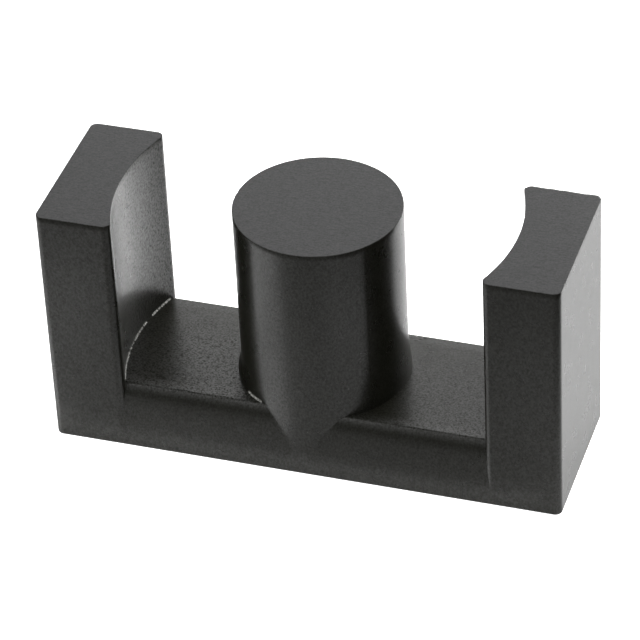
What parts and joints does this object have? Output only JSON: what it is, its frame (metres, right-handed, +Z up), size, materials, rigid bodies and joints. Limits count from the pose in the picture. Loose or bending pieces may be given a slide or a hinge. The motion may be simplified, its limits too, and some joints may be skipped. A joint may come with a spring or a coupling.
{
  "type": "ferrite core",
  "caption": "Ferrite core half with a round centre post between upright legs on a flat-backed yoke; a coil former slips over the post and a matching half closes it.",
  "frame": {"origin": "centre of the flat back face, on the centre post's axis", "axes": "+Z up the centre post towards the ground mating faces, X along the core, front face towards -Y"},
  "size_m": [0.039, 0.0124, 0.0199],
  "materials": {
    "ferrite": "as sintered, with ground top faces"
  },
  "bodies": {
    "root": {"ferrite_core": "ferrite"}
  },
  "joints": []
}
